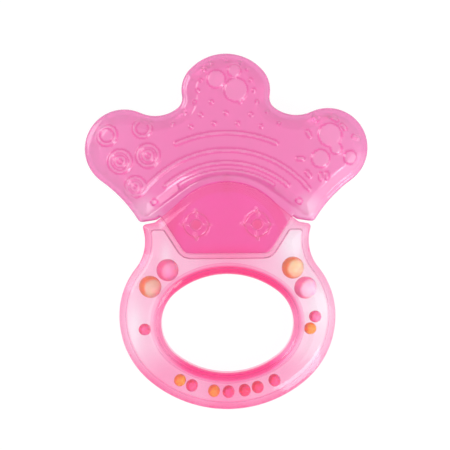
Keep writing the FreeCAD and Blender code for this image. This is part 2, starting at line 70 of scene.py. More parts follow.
# ---- Camera and light ----
CAMERA_DISTANCE = 0.50
CAMERA_FIELD = 0.1508  # width of the view at the object
CAMERA_SHIFT = (-0.00058, 0.00200)  # aim, from the middle of the object
CAMERA_ROLL = -0.42  # degrees
SENSOR = 36.0
WORLD_STRENGTH = 0.48
# name, place from the object's middle, width, length, power
LAMPS = (
    ("softbox_right", (0.27, -0.10, 0.42), 0.20, 0.40, 0.32),
    ("softbox_left", (-0.34, 0.18, 0.34), 0.20, 0.40, 0.68),
    ("strip_low", (0.30, -0.20, 0.10), 0.44, 0.18, 0.30),
    ("key_low", (0.33, -0.30, 0.27), 0.12, 0.12, 0.25),
    ("key_high", (0.22, -0.27, 0.42), 0.18, 0.18, 0.52),
)

# ---- Soft shapes, in millimetres ----
SKIN_VOXEL = 0.27
SHELL_VOXEL = 0.36
WATER_VOXEL = 0.40
BAND = 7.0  # voxels of distance kept on each side of a surface
SKIN_SOFTNESS = 0.26  # standard deviation of the softening
SHELL_SOFTNESS = 0.16
SEAM_OVERLAP = 0.04  # welded pieces run into each other
WATER_OVERLAP = 0.10  # reach of the water into the skins
SKIN_WALL = 1.5
RELIEF_HEIGHT = 0.6
RIM_HEIGHT = 3.0  # pad's rim, from the seam to its face
PILLOW_CUT = 4.6  # height at which only the pillow is met
PILLOW_SLOPE = 3.4  # width of the pillow's sloping edge
SHELL_DOME = 7.0  # width over which the shells' faces fall towards their edges
SHELL_SAG = 1.4
CROWN_RADIUS = 21.45  # line between the handle's crown and the pad
HEEL_X = 27.0  # corners of the pad beside the handle
HEEL_Y = 7.5
BOSS_X = 10.2  # studs on the pad's tongue
BOSS_Y = 2.125
ROSETTE_RADIUS = 4.2  # engraved over the studs: a ring and a cross
ROSETTE_REACH = 5.9
ROSETTE_DEPTH = 0.45
ROSETTE_RING_SHARE = 0.6  # of that depth
RING_LINE = (0.1, 0.7)  # from the ring's middle line
ARM_LINE = (0.25, 0.8)  # from an arm's middle line
ARM_START = (2.0, 2.6)
ARM_END = 0.6  # length over which an arm runs out
GRIP_CENTRE_Y = -30.775
GRIP_HALF_WIDTH = 22.0
GRIP_HALF_HEIGHT = 16.4
UNCUT = 99.0  # height that leaves a column whole
OPEN_REACH = 20.0  # free way in front of a face that counts as an outer one
OPEN_START = 0.1  # start of that way, off the face
NEAR_WATER = 0.4  # faces nearer to the water than this are inner ones

# ---- Marks on the pad: start and end of each change, in millimetres unless noted ----
PILLOW_MARGIN = 1.5  # voxels
PAINTED_SHADE_SLOPES = (0.10, 0.75)  # rise of the relief over its run, over which its slopes take a painted shade
CREST_HEIGHTS = (0.25, 0.50)
CREST_PAINTED_HIGHLIGHT = 0.28  # share of the painted glow colour on crests: a painted highlight
TONGUE_LINE = (CROWN_RADIUS - 0.2, CROWN_RADIUS + 0.5)
ARMS_PAINTED_HIGHLIGHT = 0.6  # share of the tongue's colour that the rosettes' arms lack: a painted highlight
RIM_LINE = (1.0, 2.4)
# painted glow round the pad's heel corners: full within the first distance, none past the second
HEEL_PAINTED_GLOW = (0.5, 7.0)
EDGE_LINE = (0.2, 0.7)
# share of the painted shade, a dark line, along the pad's outline
EDGE_PAINTED_SHADE = 0.7
STUD_LINE = (1.2, 1.9)
CROWN_LINE = (17.6, 18.4)  # deep band of the tongue next to the crown
BAND_DEPTH = 0.45

# ---- Dye of the handle: shares of the deep pink. Lines say where it starts and ends ----
PALE_DYE = 0.134  # dye where the handle is palest, places of painted sheen aside
# Places of painted sheen on the handle, paler for less dye, from the grip opening's centre: x, y,
# width, length.
PAINTED_SHEEN_PLACES = (
    (21.5, 26.0, 4.0, 6.0),
    (31.0, 5.0, 4.0, 7.0),
    (-31.0, -1.0, 2.5, 8.0),
    (-20.5, 22.0, 2.0, 5.0),
)
MIDDLE_WIDTH = 15.0
NECK_DYE = 0.31
FOOT_DYE = 0.42
LOW_DYE = 0.31
LOW_LINE = (0.2, 0.7)  # how far down a place lies, seen from the grip's centre
LEFT_DYE = 0.17
LEFT_LINE = (10.0, 24.0)
LEFT_FOOT, LEFT_NECK = 0.4, 0.6  # shares of it at the foot, and more at the neck
LEFT_RISE = (0.0, 0.6)
WALL_DYE, WALL_MORE = 0.38, 0.62  # grip wall at the sides, and more at the neck and foot
WALL_RISE = (0.0, 0.7)
WALL_FALL = (0.4, 0.8)
LIP_DYE, LIP_MORE = 0.82, 0.18  # grip wall's edge at the opening, and more behind it
LIP_LINE = (0.7, 1.7)
GRIP_LINE = (2.1, 3.6)
END_DYE, END_MORE = 0.09, 0.08  # outer rim at the foot and sides, and more at the neck
END_RISE = (0.45, 0.9)
RIM_DYE_LINE = (0.9, 1.9)
OUTLINE_DYE = 0.4
OUTLINE_LINE = (0.15, 0.55)
TONGUE_TOP = (24.0, 27.0)
TONGUE_SIDE = (13.0, 17.0)
TONGUE_DYE_LOSS = 0.7  # share of the dye that the shells lack over the tongue
PAINTED_SHEEN_LOSS = 1.3  # dye taken off at the painted sheen, in parts of the palest dye
UPRIGHT = 0.6  # walls have normals that rise less than this
INNER_WALL_DYE = 0.5
BOSS_WALL_REACH = 6.0  # inner walls are fully dyed this near the studs

SKINS = ("teether_back_skin", "teether_front_skin")

# ---- Looks: grains are in features per metre, heights in metres ----
COAT_IOR = 1.7
GRAIN_TO_SHEEN = 8  # the sheen changes over this many grains
PAINTED_LIT_CENTRE = (0.68, 0.44, 0.0)  # in a bead's box, of the lit disc of its painted shading
PAINTED_SHADE_BLEND = 0.12  # blend from a bead's lit disc to its crescent of painted shade
# waviness of the painted shade's edge
PAINTED_SHADE_WAVE = 0.10
BEAD_GRAIN = 500
BEAD_BUMPS = 2500
BEAD_BUMP_HEIGHT = 0.00002
LOBE_ENDS = (0.018, 0.046)  # distance from the line of symmetry, in metres
POUR_GRAIN = 90
POUR_UNEVENNESS = (0.85, 1.15)
WATER_GRAIN = 40
WATER_PALE = (1.0, 0.99, 0.995, 1.0)
WATER_PINK = (1.0, 0.97, 0.985, 1.0)
# The floor is FLOOR_WHITE to diffuse rays. Seen directly, it glows and takes a faint shadow.
FLOOR_WHITE = (0.85, 0.85, 0.85, 1.0)
FLOOR_SHADE = (0.09, 0.09, 0.09, 1.0)
FLOOR_GLOW = 0.95
FLOOR_HALF_SIZE = 1.5  # metres
FLOOR_DROP = 0.0001


# ---- Node helpers ----
class Nodes:
    """Builds a material's or world's node tree with short calls."""

    def __init__(self, owner):
        owner.use_nodes = True
        self.tree = owner.node_tree
        self.tree.nodes.clear()

    def add(self, kind, **settings):
        node = self.tree.nodes.new(kind)
        for key, value in settings.items():
            if key in node.inputs:
                node.inputs[key].default_value = value
            else:
                setattr(node, key, value)
        return node

    def put(self, node, name, value):
        node.inputs[name].default_value = value

    def link(self, source, target):
        self.tree.links.new(source, target)


def linear(red, green, blue):
    """Colour from display values of 0 to 255."""
    def channel(value):
        value /= 255
        return value / 12.92 if value <= 0.04045 else ((value + 0.055) / 1.055) ** 2.4
    return (channel(red), channel(green), channel(blue), 1.0)


def noise(nodes, scale):
    """Noise in the row frame, with scale in features per metre."""
    place = nodes.add("ShaderNodeTexCoord")
    texture = nodes.add("ShaderNodeTexNoise")
    nodes.put(texture, "Scale", scale)
    nodes.link(place.outputs["Object"], texture.inputs["Vector"])
    return texture.outputs["Fac"]


def ranged(nodes, value, low, high):
    """Value of 0 to 1 mapped to low to high."""
    node = nodes.add("ShaderNodeMapRange")
    nodes.put(node, "To Min", low)
    nodes.put(node, "To Max", high)
    nodes.link(value, node.inputs["Value"])
    return node.outputs["Result"]


def bump(nodes, height, distance):
    node = nodes.add("ShaderNodeBump")
    nodes.put(node, "Distance", distance)
    nodes.link(height, node.inputs["Height"])
    return node.outputs["Normal"]


def maths(nodes, operation, *values, clamp=False):
    """Result of a maths node on numbers and sockets."""
    node = nodes.add("ShaderNodeMath", operation=operation, use_clamp=clamp)
    for number, value in enumerate(values):
        if isinstance(value, bpy.types.NodeSocket):
            nodes.link(value, node.inputs[number])
        else:
            nodes.put(node, number, value)
    return node.outputs["Value"]


def attribute(nodes, name):
    node = nodes.add("ShaderNodeAttribute", attribute_name=name)
    return node.outputs["Fac"]


def blended(nodes, factor, first, second):
    """Colour between two colours or colour sockets."""
    mix = nodes.add("ShaderNodeMix", data_type="RGBA")
    sockets = [item for item in mix.inputs if item.type == "RGBA"]
    for socket, colour in zip(sockets, (first, second)):
        if isinstance(colour, bpy.types.NodeSocket):
            nodes.link(colour, socket)
        else:
            socket.default_value = colour
    nodes.link(factor, mix.inputs["Factor"])
    return [item for item in mix.outputs if item.type == "RGBA"][0]


def clear(name, colour, dye, density, ior, roughness, grain, grain_height, inside=None):
    """Dyed see-through material: a tint at each wall, and dye that grows with depth.

    colour(nodes) makes the socket of the tint. inside holds the share of a milky look, the
    gloss and the gloss's roughness, which are for outer faces only.
    """
    material = bpy.data.materials.new(name)
    nodes = Nodes(material)
    shader = nodes.add("ShaderNodeBsdfPrincipled")
    nodes.put(shader, "IOR", ior)
    if inside is None:
        nodes.put(shader, "Transmission Weight", 1.0)
    else:
        milky, coat, coat_roughness = inside
        outer = attribute(nodes, "outer")
        faces = nodes.add("ShaderNodeNewGeometry")
        entered = maths(nodes, "SUBTRACT", outer, faces.outputs["Backfacing"], clamp=True)
        hazy = ranged(nodes, entered, 1.0, 1.0 - milky)
        nodes.link(hazy, shader.inputs["Transmission Weight"])
        nodes.link(ranged(nodes, outer, 0.0, coat), shader.inputs["Coat Weight"])
        nodes.put(shader, "Coat Roughness", coat_roughness)
        nodes.put(shader, "Coat IOR", COAT_IOR)
    nodes.link(colour(nodes), shader.inputs["Base Color"])
    sheen = ranged(nodes, noise(nodes, grain / GRAIN_TO_SHEEN), *roughness)
    nodes.link(sheen, shader.inputs["Roughness"])
    nodes.link(bump(nodes, noise(nodes, grain), grain_height), shader.inputs["Normal"])
    absorb = nodes.add("ShaderNodeVolumeAbsorption")
    nodes.put(absorb, "Color", dye)
    nodes.put(absorb, "Density", density)
    output = nodes.add("ShaderNodeOutputMaterial")
    nodes.link(shader.outputs["BSDF"], output.inputs["Surface"])
    nodes.link(absorb.outputs["Volume"], output.inputs["Volume"])
    return material


def sideways(nodes):
    """Distance from the line of symmetry, in metres."""
    place = nodes.add("ShaderNodeTexCoord")
    parts = nodes.add("ShaderNodeSeparateXYZ")
    nodes.link(place.outputs["Object"], parts.inputs["Vector"])
    return maths(nodes, "ABSOLUTE", parts.outputs["X"])


def between(nodes, value, start, end):
    """0 before start and 1 after end."""
    node = nodes.add("ShaderNodeMapRange", interpolation_type="SMOOTHSTEP")
    nodes.put(node, "From Min", start)
    nodes.put(node, "From Max", end)
    nodes.link(value, node.inputs["Value"])
    return node.outputs["Result"]


def skin_colour(nodes):
    """Pale towards the lobes' ends, deep in the tongue, which holds no water, with painted glow
    and painted shade.
    """
    ends = between(nodes, sideways(nodes), *LOBE_ENDS)
    pad = blended(nodes, ends, SKIN_MIDDLE, SKIN_ENDS)
    pad = blended(nodes, attribute(nodes, "rim"), pad, SKIN_RIM)
    pad = blended(nodes, attribute(nodes, "glow"), pad, SKIN_PAINTED_GLOW)
    pad = blended(nodes, attribute(nodes, "painted_crease_shade"), pad, SKIN_PAINTED_SHADE)
    tongue = blended(nodes, attribute(nodes, "tongue"), pad, TONGUE)
    return blended(nodes, attribute(nodes, "boss"), tongue, BOSS)


def shell_colour(nodes):
    """Pink as strong as marked, paler at the painted sheen, a little uneven like a thin pour."""
    unevenness = ranged(nodes, noise(nodes, POUR_GRAIN), *POUR_UNEVENNESS)
    dye = maths(nodes, "MULTIPLY", unevenness, attribute(nodes, "dye"), clamp=True)
    return blended(nodes, dye, SHELL_PALE, SHELL_DEEP)


def water_colour(nodes):
    return blended(nodes, noise(nodes, WATER_GRAIN), WATER_PALE, WATER_PINK)


def bead_material(name, light, painted_shade, split):
    """Glossy bead with painted shade: a darker crescent towards its upper left."""
    material = bpy.data.materials.new(name)
    nodes = Nodes(material)
    shader = nodes.add("ShaderNodeBsdfPrincipled")
    nodes.put(shader, "Roughness", 0.25)
    nodes.put(shader, "IOR", 1.49)
    place = nodes.add("ShaderNodeTexCoord")
    flat = nodes.add("ShaderNodeVectorMath", operation="MULTIPLY")
    nodes.link(place.outputs["Generated"], flat.inputs[0])
    flat.inputs[1].default_value = (1, 1, 0)
    away = nodes.add("ShaderNodeVectorMath", operation="DISTANCE")
    nodes.link(flat.outputs["Vector"], away.inputs[0])
    away.inputs[1].default_value = PAINTED_LIT_CENTRE
    distance = away.outputs["Value"]
    wave = maths(nodes, "MULTIPLY_ADD", noise(nodes, BEAD_GRAIN), PAINTED_SHADE_WAVE, distance)
    # Painted shade: the bead darkens into a crescent away from its lit disc.
    painted_shade_ramp = nodes.add("ShaderNodeValToRGB")
    first, last = painted_shade_ramp.color_ramp.elements
    first.position, first.color = split, light
    last.position, last.color = split + PAINTED_SHADE_BLEND, painted_shade
    nodes.link(wave, painted_shade_ramp.inputs["Fac"])
    nodes.link(painted_shade_ramp.outputs["Color"], shader.inputs["Base Color"])
    nodes.put(shader, "Subsurface Weight", 0.8)
    nodes.put(shader, "Subsurface Scale", 0.004)
    nodes.link(bump(nodes, noise(nodes, BEAD_BUMPS), BEAD_BUMP_HEIGHT), shader.inputs["Normal"])
    output = nodes.add("ShaderNodeOutputMaterial")
    nodes.link(shader.outputs["BSDF"], output.inputs["Surface"])
    return material


def dress(name, material):
    """Gives a CAD node its own material."""
    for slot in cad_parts[name].material_slots:
        slot.material = material


# ---- Soft shapes from the CAD solids ----
def triangles_of(names, seam=None):
    """Corners and triangles of the nodes in millimetres, joined without faces at the seam."""
    corners = []
    triangles = []
    count = 0
    for name in names:
        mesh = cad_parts[name].data
        mesh.calc_loop_triangles()
        points = np.array([v.co for v in mesh.vertices]) / MM
        faces = np.array([t.vertices for t in mesh.loop_triangles])
        if seam is not None:
            at_seam = abs(points[:, 2] - seam) < SEAM_OVERLAP
            points[at_seam, 2] = seam
            faces = faces[~at_seam[faces].all(axis=1)]
        corners.append(points)
        triangles.append(faces + count)
        count += len(points)
    return np.concatenate(corners), np.concatenate(triangles)


def softened(field, deviation):
    """Field smoothed by a Gaussian, with its deviation in voxels."""
    reach = math.ceil(3 * deviation)
    steps = np.arange(-reach, reach + 1)
    weights = np.exp(-0.5 * (steps / deviation) ** 2)
    weights /= weights.sum()
    for axis in range(field.ndim):
        padding = [(reach, reach) if a == axis else (0, 0) for a in range(field.ndim)]
        padded = np.pad(field, padding, mode="edge")
        length = field.shape[axis]
        field = sum(
            weight * np.take(padded, np.arange(start, start + length), axis)
            for start, weight in enumerate(weights)
        )
    return field


class Field:
    """Distance field of solids on a grid, in millimetres, negative inside."""

    def __init__(self, corners, triangles, voxel):
        self.voxel = voxel
        self.transform = openvdb.createLinearTransform(voxel)
        grid = openvdb.FloatGrid.createLevelSetFromPolygons(
            corners, triangles=triangles, transform=self.transform, halfWidth=BAND
        )
        self.low, high = grid.evalActiveVoxelBoundingBox()
        self.values = np.zeros([h - l + 1 for l, h in zip(self.low, high)], np.float32)
        grid.copyToArray(self.values, ijk=self.low)

    def heights(self, seam):
        """Height of each layer above the seam."""
        layers = np.arange(self.values.shape[2])
        return (self.low[2] + layers) * self.voxel - seam

    def layer(self, seam, height):
        """Slice of the field at a height above the seam."""
        place = (height + seam) / self.voxel - self.low[2]
        below = int(place)
        part = place - below
        return self.values[:, :, below] * (1 - part) + self.values[:, :, below + 1] * part

    def tops(self, seam):
        """Height of the uppermost surface above the seam, or 0 beside the solids."""
        heights = self.heights(seam)
        inside = self.values < 0
        last = self.values.shape[2] - 1 - inside[:, :, ::-1].argmax(axis=2)
        after = np.minimum(last + 1, self.values.shape[2] - 1)
        f0 = np.take_along_axis(self.values, last[:, :, None], 2)[:, :, 0]
        f1 = np.take_along_axis(self.values, after[:, :, None], 2)[:, :, 0]
        part = np.where(f1 > f0, -f0 / np.maximum(f1 - f0, 1e-6), 0)
        return np.where(inside.any(axis=2), heights[last] + part * self.voxel, 0)

    def depth(self, outline):
        """Distance of each column from the zero line of outline, inside it, else 0."""
        points = []
        for axis in (0, 1):
            near = np.take(outline, range(outline.shape[axis] - 1), axis)
            far = np.take(outline, range(1, outline.shape[axis]), axis)
            cells = np.argwhere(near * far < 0)
            part = near[near * far < 0] / (near - far)[near * far < 0]
            places = cells.astype(float)
            places[:, axis] += part
            points.append(places)
        points = np.concatenate(points)
        tree = KDTree(len(points))
        for number, (x, y) in enumerate(points):
            tree.insert((x, y, 0), number)
        tree.balance()
        found = np.zeros(outline.shape)
        for i, j in np.argwhere(outline < 0):
            found[i, j] = tree.find((i, j, 0))[2] * self.voxel
        return found

    def cut_to(self, seam, height):
        """Cuts the solids to a height above and below the seam, given for each column."""
        over = abs(self.heights(seam))[None, None, :] - height[:, :, None]
        self.values = np.maximum(self.values, over)

    def surface(self, softness, grow=0.0):
        """Points and quads of the softened surface, moved out by grow."""
        values = softened(self.values, softness / self.voxel).astype(np.float32)
        soft = openvdb.FloatGrid(BAND * self.voxel)
        soft.copyFromArray(values, ijk=self.low)
        soft.transform = self.transform
        return soft.convertToQuads(isovalue=grow)


def new_piece(name, bm):
    """Object made from a bmesh in millimetres."""
    bmesh.ops.scale(bm, vec=(MM, MM, MM), verts=bm.verts)
    if bm.calc_volume(signed=True) < 0:
        bmesh.ops.reverse_faces(bm, faces=bm.faces)
    mesh = bpy.data.meshes.new(name)
    bm.to_mesh(mesh)
    bm.free()
    piece = bpy.data.objects.new(name, mesh)
    bpy.context.scene.collection.objects.link(piece)
    return piece


def surface_bmesh(points, quads):
    mesh = bpy.data.meshes.new("surface")
    mesh.from_pydata(points.tolist(), [], quads.tolist())
    bm = bmesh.new()
    bm.from_mesh(mesh)
    bpy.data.meshes.remove(mesh)
    for face in bm.faces:
        face.smooth = True
    return bm


def half_of(name, points, quads, seam, side):
    """Part of the surface on one side of the seam, closed by a flat face."""
    bm = surface_bmesh(points, quads)
    place = (0, 0, seam - side * SEAM_OVERLAP / 2)
    geometry = bm.verts[:] + bm.edges[:] + bm.faces[:]
    cut = bmesh.ops.bisect_plane(
        bm, geom=geometry, dist=1e-5, plane_co=place, plane_no=(0, 0, side), clear_inner=True
    )
    edges = [e for e in cut["geom_cut"] if isinstance(e, bmesh.types.BMEdge)]
    for edge in edges:
        edge.smooth = False
    filled = bmesh.ops.triangle_fill(bm, edges=edges, use_beauty=True, use_dissolve=False)
    for item in filled["geom"]:
        if isinstance(item, bmesh.types.BMFace):
            item.smooth = False
    bmesh.ops.recalc_face_normals(bm, faces=bm.faces)
    return new_piece(name, bm)


def mark(piece, name, values):
    layer = piece.data.attributes.new(name, "FLOAT", "POINT")
    layer.data.foreach_set("value", np.asarray(values, np.float32))


def places_of(piece):
    flat = np.zeros(3 * len(piece.data.vertices), np.float32)
    piece.data.vertices.foreach_get("co", flat)
    return flat.reshape(-1, 3) / MM


def facing_out(piece, tree):
    """1 at corners with a free way in front of them, else 0."""
    found = []
    for vertex in piece.data.vertices:
        start = (vertex.co + vertex.normal * MM * OPEN_START) / MM
        found.append(0.0 if tree.ray_cast(start, vertex.normal, OPEN_REACH)[0] else 1.0)
    return found


def ramp(value, start, end):
    """0 before start, 1 after end and smooth between."""
    part = np.clip((value - start) / (end - start), 0, 1)
    return part * part * (3 - 2 * part)


def column_values(places, field, table):
    """Values of a field's table of columns, at places in plan."""
    columns = np.round(places[:, :2] / field.voxel - field.low[:2]).astype(int)
    columns = np.clip(columns, 0, np.array(table.shape) - 1)
    return table[columns[:, 0], columns[:, 1]]


def rosette(x, y):
    """Shares of a ring and of a cross round each stud, at places in plan."""
    across = abs(abs(x) - BOSS_X)
    along = abs(y - BOSS_Y)
    reach = np.hypot(across, along)
    ring = 1 - ramp(abs(reach - ROSETTE_RADIUS), *RING_LINE)
    arms = 1 - ramp(np.minimum(across, along), *ARM_LINE)
    ends = 1 - ramp(reach, ROSETTE_REACH - ARM_END, ROSETTE_REACH)
    return ring, arms * ramp(reach, *ARM_START) * ends


def from_studs(places):
    """Distance in plan from the nearer stud."""
    return np.hypot(abs(places[:, 0]) - BOSS_X, places[:, 1] - BOSS_Y)


# ---- Pad ----
back_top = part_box("teether_back_skin")[1].z
front_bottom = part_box("teether_front_skin")[0].z
seam_z = (back_top + front_bottom) / 2 / MM
crown_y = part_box("handle_front_shell")[1].y / MM - CROWN_RADIUS

pad = Field(*triangles_of(SKINS, seam_z), SKIN_VOXEL)
pad_depth = pad.depth(pad.values.min(axis=2))
pillow_depth = pad.depth(pad.layer(seam_z, PILLOW_CUT))
pillow_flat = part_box("teether_front_skin")[1].z / MM - seam_z - RELIEF_HEIGHT
relief = np.clip(pad.tops(seam_z) - pillow_flat, 0, None)
rise = np.clip(pillow_depth / PILLOW_SLOPE, 0, 1)
slope = RIM_HEIGHT + (pillow_flat - RIM_HEIGHT) * rise
over_pillow = pad.layer(seam_z, PILLOW_CUT) < PILLOW_MARGIN * SKIN_VOXEL
pad.cut_to(seam_z, np.where(over_pillow, slope + relief, UNCUT))
slopes = np.gradient(softened(relief, SKIN_SOFTNESS / SKIN_VOXEL), SKIN_VOXEL)
painted_crease_shade = ramp(np.hypot(*slopes), *PAINTED_SHADE_SLOPES)
crest_light_mask = ramp(relief, *CREST_HEIGHTS)
pad_surface = pad.surface(SKIN_SOFTNESS)

water_field = Field(*triangles_of(["water_fill"]), WATER_VOXEL)
plan = np.indices(water_field.values.shape[:2]).reshape(2, -1).T + water_field.low[:2]
roof = column_values(plan * WATER_VOXEL, pad, slope - SKIN_WALL)
water_field.cut_to(seam_z, roof.reshape(water_field.values.shape[:2]))
water_surface = water_field.surface(SKIN_SOFTNESS, WATER_OVERLAP)
water = new_piece("water_fill_soft", surface_bmesh(*water_surface))
water_tree = BVHTree.FromPolygons(*(part.tolist() for part in water_surface))

front_skin = half_of("teether_front_skin_soft", *pad_surface, seam_z, 1)
back_skin = half_of("teether_back_skin_soft", *pad_surface, seam_z, -1)

for piece in (front_skin, back_skin):
    places = places_of(piece)
    inner = [water_tree.find_nearest(place)[3] < NEAR_WATER for place in places.tolist()]
    mark(piece, "outer", 1.0 - np.array(inner, float))
    radius = np.hypot(places[:, 0], places[:, 1] - crown_y)
    tongue = 1.0 - ramp(radius, *TONGUE_LINE)
    ring, arms = rosette(places[:, 0], places[:, 1])
    # The rosettes' arms lose some of the tongue's colour: a painted highlight.
    mark(piece, "tongue", tongue * (1 - ARMS_PAINTED_HIGHLIGHT * arms))
    outline_depth = column_values(places, pad, pad_depth)
    heel = np.hypot(abs(places[:, 0]) - HEEL_X, places[:, 1] - HEEL_Y)
    mark(piece, "rim", 1 - ramp(outline_depth, *RIM_LINE))
    on_face = abs(places[:, 2] - seam_z) > PILLOW_CUT
    # Painted light: a glow at the heel corners and highlights on the relief's crests.
    painted_crest_light = CREST_PAINTED_HIGHLIGHT * on_face * column_values(places, pad, crest_light_mask)
    mark(piece, "glow", np.maximum(1 - ramp(heel, *HEEL_PAINTED_GLOW), painted_crest_light))
    # Painted shade: darker on the relief's slopes and in a line along the pad's outline.
    edge = EDGE_PAINTED_SHADE * (1 - ramp(outline_depth, *EDGE_LINE))
    mark(piece, "painted_crease_shade", np.maximum(on_face * column_values(places, pad, painted_crease_shade), edge))
    studs = 1.0 - ramp(from_studs(places), *STUD_LINE)
    crown = tongue * ramp(radius, *CROWN_LINE)
    mark(piece, "boss", np.maximum(studs, BAND_DEPTH * np.maximum(crown, ring)))


# ---- Handle shells ----
def rosettes(field):
    """Depth of the rosettes engraved over the studs, for each column."""
    columns = np.indices(field.values.shape[:2]) + np.reshape(field.low[:2], (2, 1, 1))
    ring, arms = rosette(*(columns * field.voxel))
    return ROSETTE_DEPTH * np.maximum(ROSETTE_RING_SHARE * ring, arms)


def soft_shell(node, side):
    """A shell's field, each column's distance from its outline, and its softened surface."""
    corners, triangles = triangles_of([node])
    at_seam = abs(corners[:, 2] - seam_z) < SEAM_OVERLAP
    corners[at_seam, 2] = seam_z - side * SEAM_OVERLAP / 4
    field = Field(corners, triangles, SHELL_VOXEL)
    outline = field.values.min(axis=2)
    depth = field.depth(outline)
    top = field.tops(seam_z).max() if side > 0 else seam_z
    fall = SHELL_SAG * (1 - np.clip(depth / SHELL_DOME, 0, 1)) ** 2 + rosettes(field)
    field.cut_to(seam_z, np.where(outline < 0, top - fall, UNCUT))
    return field, depth, field.surface(SHELL_SOFTNESS)


def dye_and_painted_sheen(places, depth):
    """How deep the handle's pink is: walls seen along their height, the neck and the foot, less
    at a painted sheen.
    """
    x, y = places[:, 0], places[:, 1] - GRIP_CENTRE_Y
    reach = np.maximum(np.hypot(x, y), 1.0)
    oval = np.hypot(x / GRIP_HALF_WIDTH, y / GRIP_HALF_HEIGHT)
    from_grip = reach * (1 - 1 / np.maximum(oval, 0.5))
    upward = y / reach
    middle = np.exp(-((x / MIDDLE_WIDTH) ** 2)) * np.where(y > 0, NECK_DYE, FOOT_DYE)
    low = LOW_DYE * ramp(-upward, *LOW_LINE)
    left = LEFT_DYE * ramp(-x, *LEFT_LINE)
    left_share = LEFT_FOOT + LEFT_NECK * ramp(upward, *LEFT_RISE)
    body = np.maximum(middle, low) + left * left_share
    wall = WALL_DYE + WALL_MORE * ramp(upward, *WALL_RISE) + WALL_MORE * ramp(-upward, *WALL_FALL)
    lip = LIP_DYE + LIP_MORE * ramp(from_grip, *LIP_LINE)
    grip = wall * (1 - ramp(from_grip, *GRIP_LINE)) * lip
    end = END_DYE + END_MORE * ramp(upward, *END_RISE)
    outline = OUTLINE_DYE * (1 - ramp(depth, *OUTLINE_LINE))
    rim = end * (1 - ramp(depth, *RIM_DYE_LINE)) + outline
    on_tongue = ramp(y, *TONGUE_TOP) * (1 - ramp(abs(x), *TONGUE_SIDE))
    dye = np.clip(np.maximum(body, grip) + rim, 0, 1) * (1 - TONGUE_DYE_LOSS * on_tongue)
    # Painted sheen: less dye at these places.
    painted_sheen_weight = sum(
        np.exp(-(((x - at_x) / wide) ** 2) - ((y - at_y) / long) ** 2)
        for at_x, at_y, wide, long in PAINTED_SHEEN_PLACES
    )
    painted_sheen_dye_loss = PAINTED_SHEEN_LOSS * PALE_DYE * painted_sheen_weight
    return np.clip(PALE_DYE + (1 - PALE_DYE) * dye - painted_sheen_dye_loss, 0, 1)


front_field, front_depth, front_surface = soft_shell("handle_front_shell", 1)
back_field, back_depth, back_surface = soft_shell("handle_back_shell", -1)
shell_tree = BVHTree.FromPolygons(
    np.concatenate([front_surface[0], back_surface[0]]).tolist(),
    np.concatenate([front_surface[1], back_surface[1] + len(front_surface[0])]).tolist(),
)
front_shell = new_piece("handle_front_shell_soft", surface_bmesh(*front_surface))
back_shell = new_piece("handle_back_shell_soft", surface_bmesh(*back_surface))
for piece, field, depth in (
    (front_shell, front_field, front_depth),
    (back_shell, back_field, back_depth),
):
    outer = facing_out(piece, shell_tree)
    mark(piece, "outer", outer)
    places = places_of(piece)
    # Dye, less at the places of painted sheen.
    dye = dye_and_painted_sheen(places, column_values(places, field, depth))
    upright = [abs(vertex.normal.z) < UPRIGHT for vertex in piece.data.vertices]
    inner_wall = np.array(upright) * (1 - np.array(outer))
    wall_dye = np.where(from_studs(places) < BOSS_WALL_REACH, 1.0, INNER_WALL_DYE)
    mark(piece, "dye", np.maximum(dye, inner_wall * wall_dye))

for piece, node, slot in (
    (front_skin, "teether_front_skin", "teether_magenta"),
    (back_skin, "teether_back_skin", "teether_magenta"),
    (water, "water_fill", "water"),
    (front_shell, "handle_front_shell", "handle_clear_pink"),
    (back_shell, "handle_back_shell", "handle_clear_pink"),
):
    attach(piece, "teether")
    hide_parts(node)

# ---- Materials ----
SKIN_MIDDLE = (1.0, 0.37, 0.71, 1.0)
SKIN_ENDS = (1.0, 0.48, 0.79, 1.0)
SKIN_RIM = (1.0, 0.47, 0.77, 1.0)
# painted glow of the heel corners and painted highlight of the crests
SKIN_PAINTED_GLOW = (1.0, 0.76, 0.92, 1.0)
# painted shade of the relief's slopes and the pad's outline
SKIN_PAINTED_SHADE = (0.97, 0.20, 0.58, 1.0)
TONGUE = (1.0, 0.09, 0.62, 1.0)
BOSS = (0.95, 0.07, 0.42, 1.0)
SHELL_PALE = (0.98, 0.96, 0.98, 1.0)
SHELL_DEEP = (0.99, 0.22, 0.53, 1.0)

skin_material = clear(
    "teether_magenta_soft",
    skin_colour,
    dye=(1.0, 0.70, 0.88, 1.0),
    density=130.0,
    ior=1.26,
    roughness=(0.10, 0.18),
    grain=1500.0,
    grain_height=0.000004,
    inside=(0.40, 0.9, 0.05),
)
water_material = clear(
    "water_clear",
    water_colour,
    dye=(0.99, 0.95, 0.97, 1.0),
    density=10.0,
    ior=1.14,
    roughness=(0.0, 0.02),
    grain=300.0,
    grain_height=0.00001,
)
shell_material = clear(
    "handle_pink_clear",
    shell_colour,
    dye=(0.995, 0.50, 0.75, 1.0),
    density=90.0,
    ior=1.10,
    roughness=(0.02, 0.05),
    grain=160.0,
    grain_height=0.00006,
    inside=(0.06, 0.60, 0.08),
)
for piece in (front_skin, back_skin):
    piece.data.materials.append(skin_material)
water.data.materials.append(water_material)
for piece in (front_shell, back_shell):
    piece.data.materials.append(shell_material)
dress("fill_plug", skin_material)

